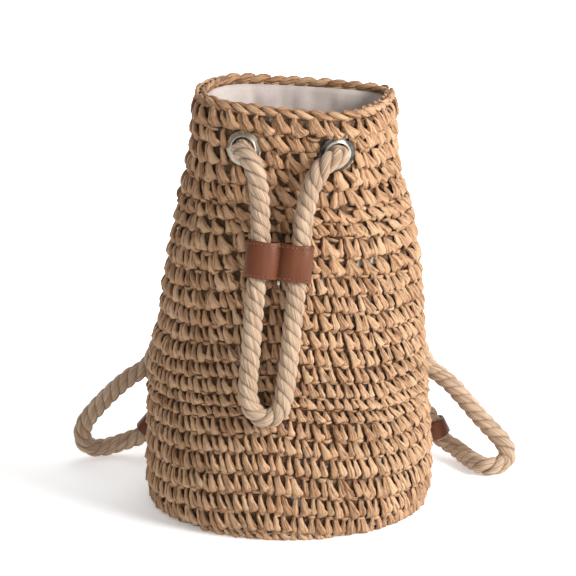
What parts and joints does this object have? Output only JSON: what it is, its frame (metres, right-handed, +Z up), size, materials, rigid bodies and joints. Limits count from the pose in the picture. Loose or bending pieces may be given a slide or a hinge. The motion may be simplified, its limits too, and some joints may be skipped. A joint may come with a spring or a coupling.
{
  "type": "woven straw backpack",
  "caption": "Crocheted straw bucket backpack with a plaited rim, cotton lining, metal eyelets, a rope drawstring loop with a leather keeper, and rope shoulder straps.",
  "frame": {"origin": "middle of the base, on the surface the bag stands on", "axes": "+Z up, front of the bag towards -Y, +X to the bag's right side as seen from the front"},
  "size_m": [0.3269, 0.1998, 0.2974],
  "materials": {
    "straw": "matte twisted paper straw",
    "cotton": "matte cotton",
    "rope": "matte three-strand cotton rope",
    "leather": "satin",
    "pewter": "antique"
  },
  "bodies": {
    "root": {"straw_bag": "straw", "rim_plait": "straw", "cotton_lining": "cotton", "eyelet_front_left": "pewter", "eyelet_front_right": "pewter", "eyelet_back_left": "pewter", "eyelet_back_right": "pewter", "eyelet_low_left": "pewter", "eyelet_low_right": "pewter", "rope_front_loop": "rope", "rope_inside_left": "rope", "rope_inside_right": "rope", "rope_strap_left": "rope", "rope_strap_right": "rope", "front_keeper": "leather", "strap_sleeve_left": "leather", "strap_sleeve_right": "leather"}
  },
  "joints": []
}
